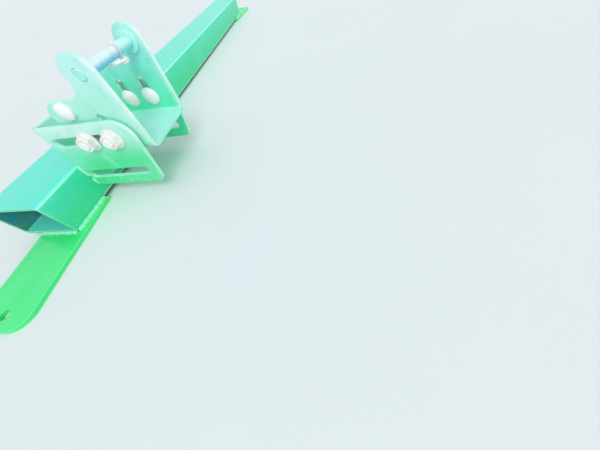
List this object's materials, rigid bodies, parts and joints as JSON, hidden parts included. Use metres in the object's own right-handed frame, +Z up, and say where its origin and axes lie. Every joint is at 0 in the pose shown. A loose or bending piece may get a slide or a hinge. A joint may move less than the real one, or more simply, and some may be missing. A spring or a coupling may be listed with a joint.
{
  "type": "adjustable clevis bracket on a frame rail",
  "caption": "Green frame rail on feet, with a slotted saddle whose bolted clevis slides in, out, up and down and carries a turning pin.",
  "frame": {"origin": "under the feet, midway between their two fixing holes", "axes": "+X along the rail away from the bracket's end, +Z up, the bracket reaches out to -Y"},
  "size_m": [1.4876, 0.247, 0.188],
  "materials": {
    "green_paint": "gloss green machine enamel over plate, a little dusty",
    "zinc_bright": "bright zinc plate, faintly yellow",
    "zinc_dull": "dull zinc plate",
    "pin_steel": "ground steel pin, lightly greased"
  },
  "bodies": {
    "rail": {"frame_rail": "green_paint", "saddle": "green_paint", "saddle_welds": "green_paint", "foot_plate_near": "green_paint", "foot_weld_near": "green_paint", "foot_plate_far": "green_paint", "foot_weld_far": "green_paint"},
    "clamp_bolts": {"slot_bolt_near_1": "zinc_bright", "spacer_near_1": "zinc_dull", "washer_near_1": "zinc_bright", "slot_nut_near_1": "zinc_bright", "slot_bolt_near_2": "zinc_bright", "spacer_near_2": "zinc_dull", "washer_near_2": "zinc_bright", "slot_nut_near_2": "zinc_bright", "slot_bolt_far_1": "zinc_bright", "spacer_far_1": "zinc_dull", "washer_far_1": "zinc_bright", "slot_nut_far_1": "zinc_bright", "slot_bolt_far_2": "zinc_bright", "spacer_far_2": "zinc_dull", "washer_far_2": "zinc_bright", "slot_nut_far_2": "zinc_bright"},
    "clevis": {"clevis": "green_paint", "eye_boss": "green_paint", "ear_button_near": "zinc_bright", "ear_button_far": "zinc_bright"},
    "pin": {"clevis_pin": "pin_steel", "pin_ring": "zinc_bright", "linch_pin": "zinc_bright"}
  },
  "joints": [
    {"name": "reach_slide", "type": "slide", "parent": "rail", "child": "clamp_bolts", "axis": [0, -1, 0], "range_m": [-0.025, 0.003]},
    {"name": "rise_slide", "type": "slide", "parent": "clamp_bolts", "child": "clevis", "axis": [0, 0, 1], "range_m": [-0.0035, 0.002]},
    {"name": "pin_turn", "type": "hinge", "parent": "clevis", "child": "pin", "pos_m": [-0.4535, -0.15099, 0.169], "axis": [1, 0, 0], "continuous": true}
  ]
}
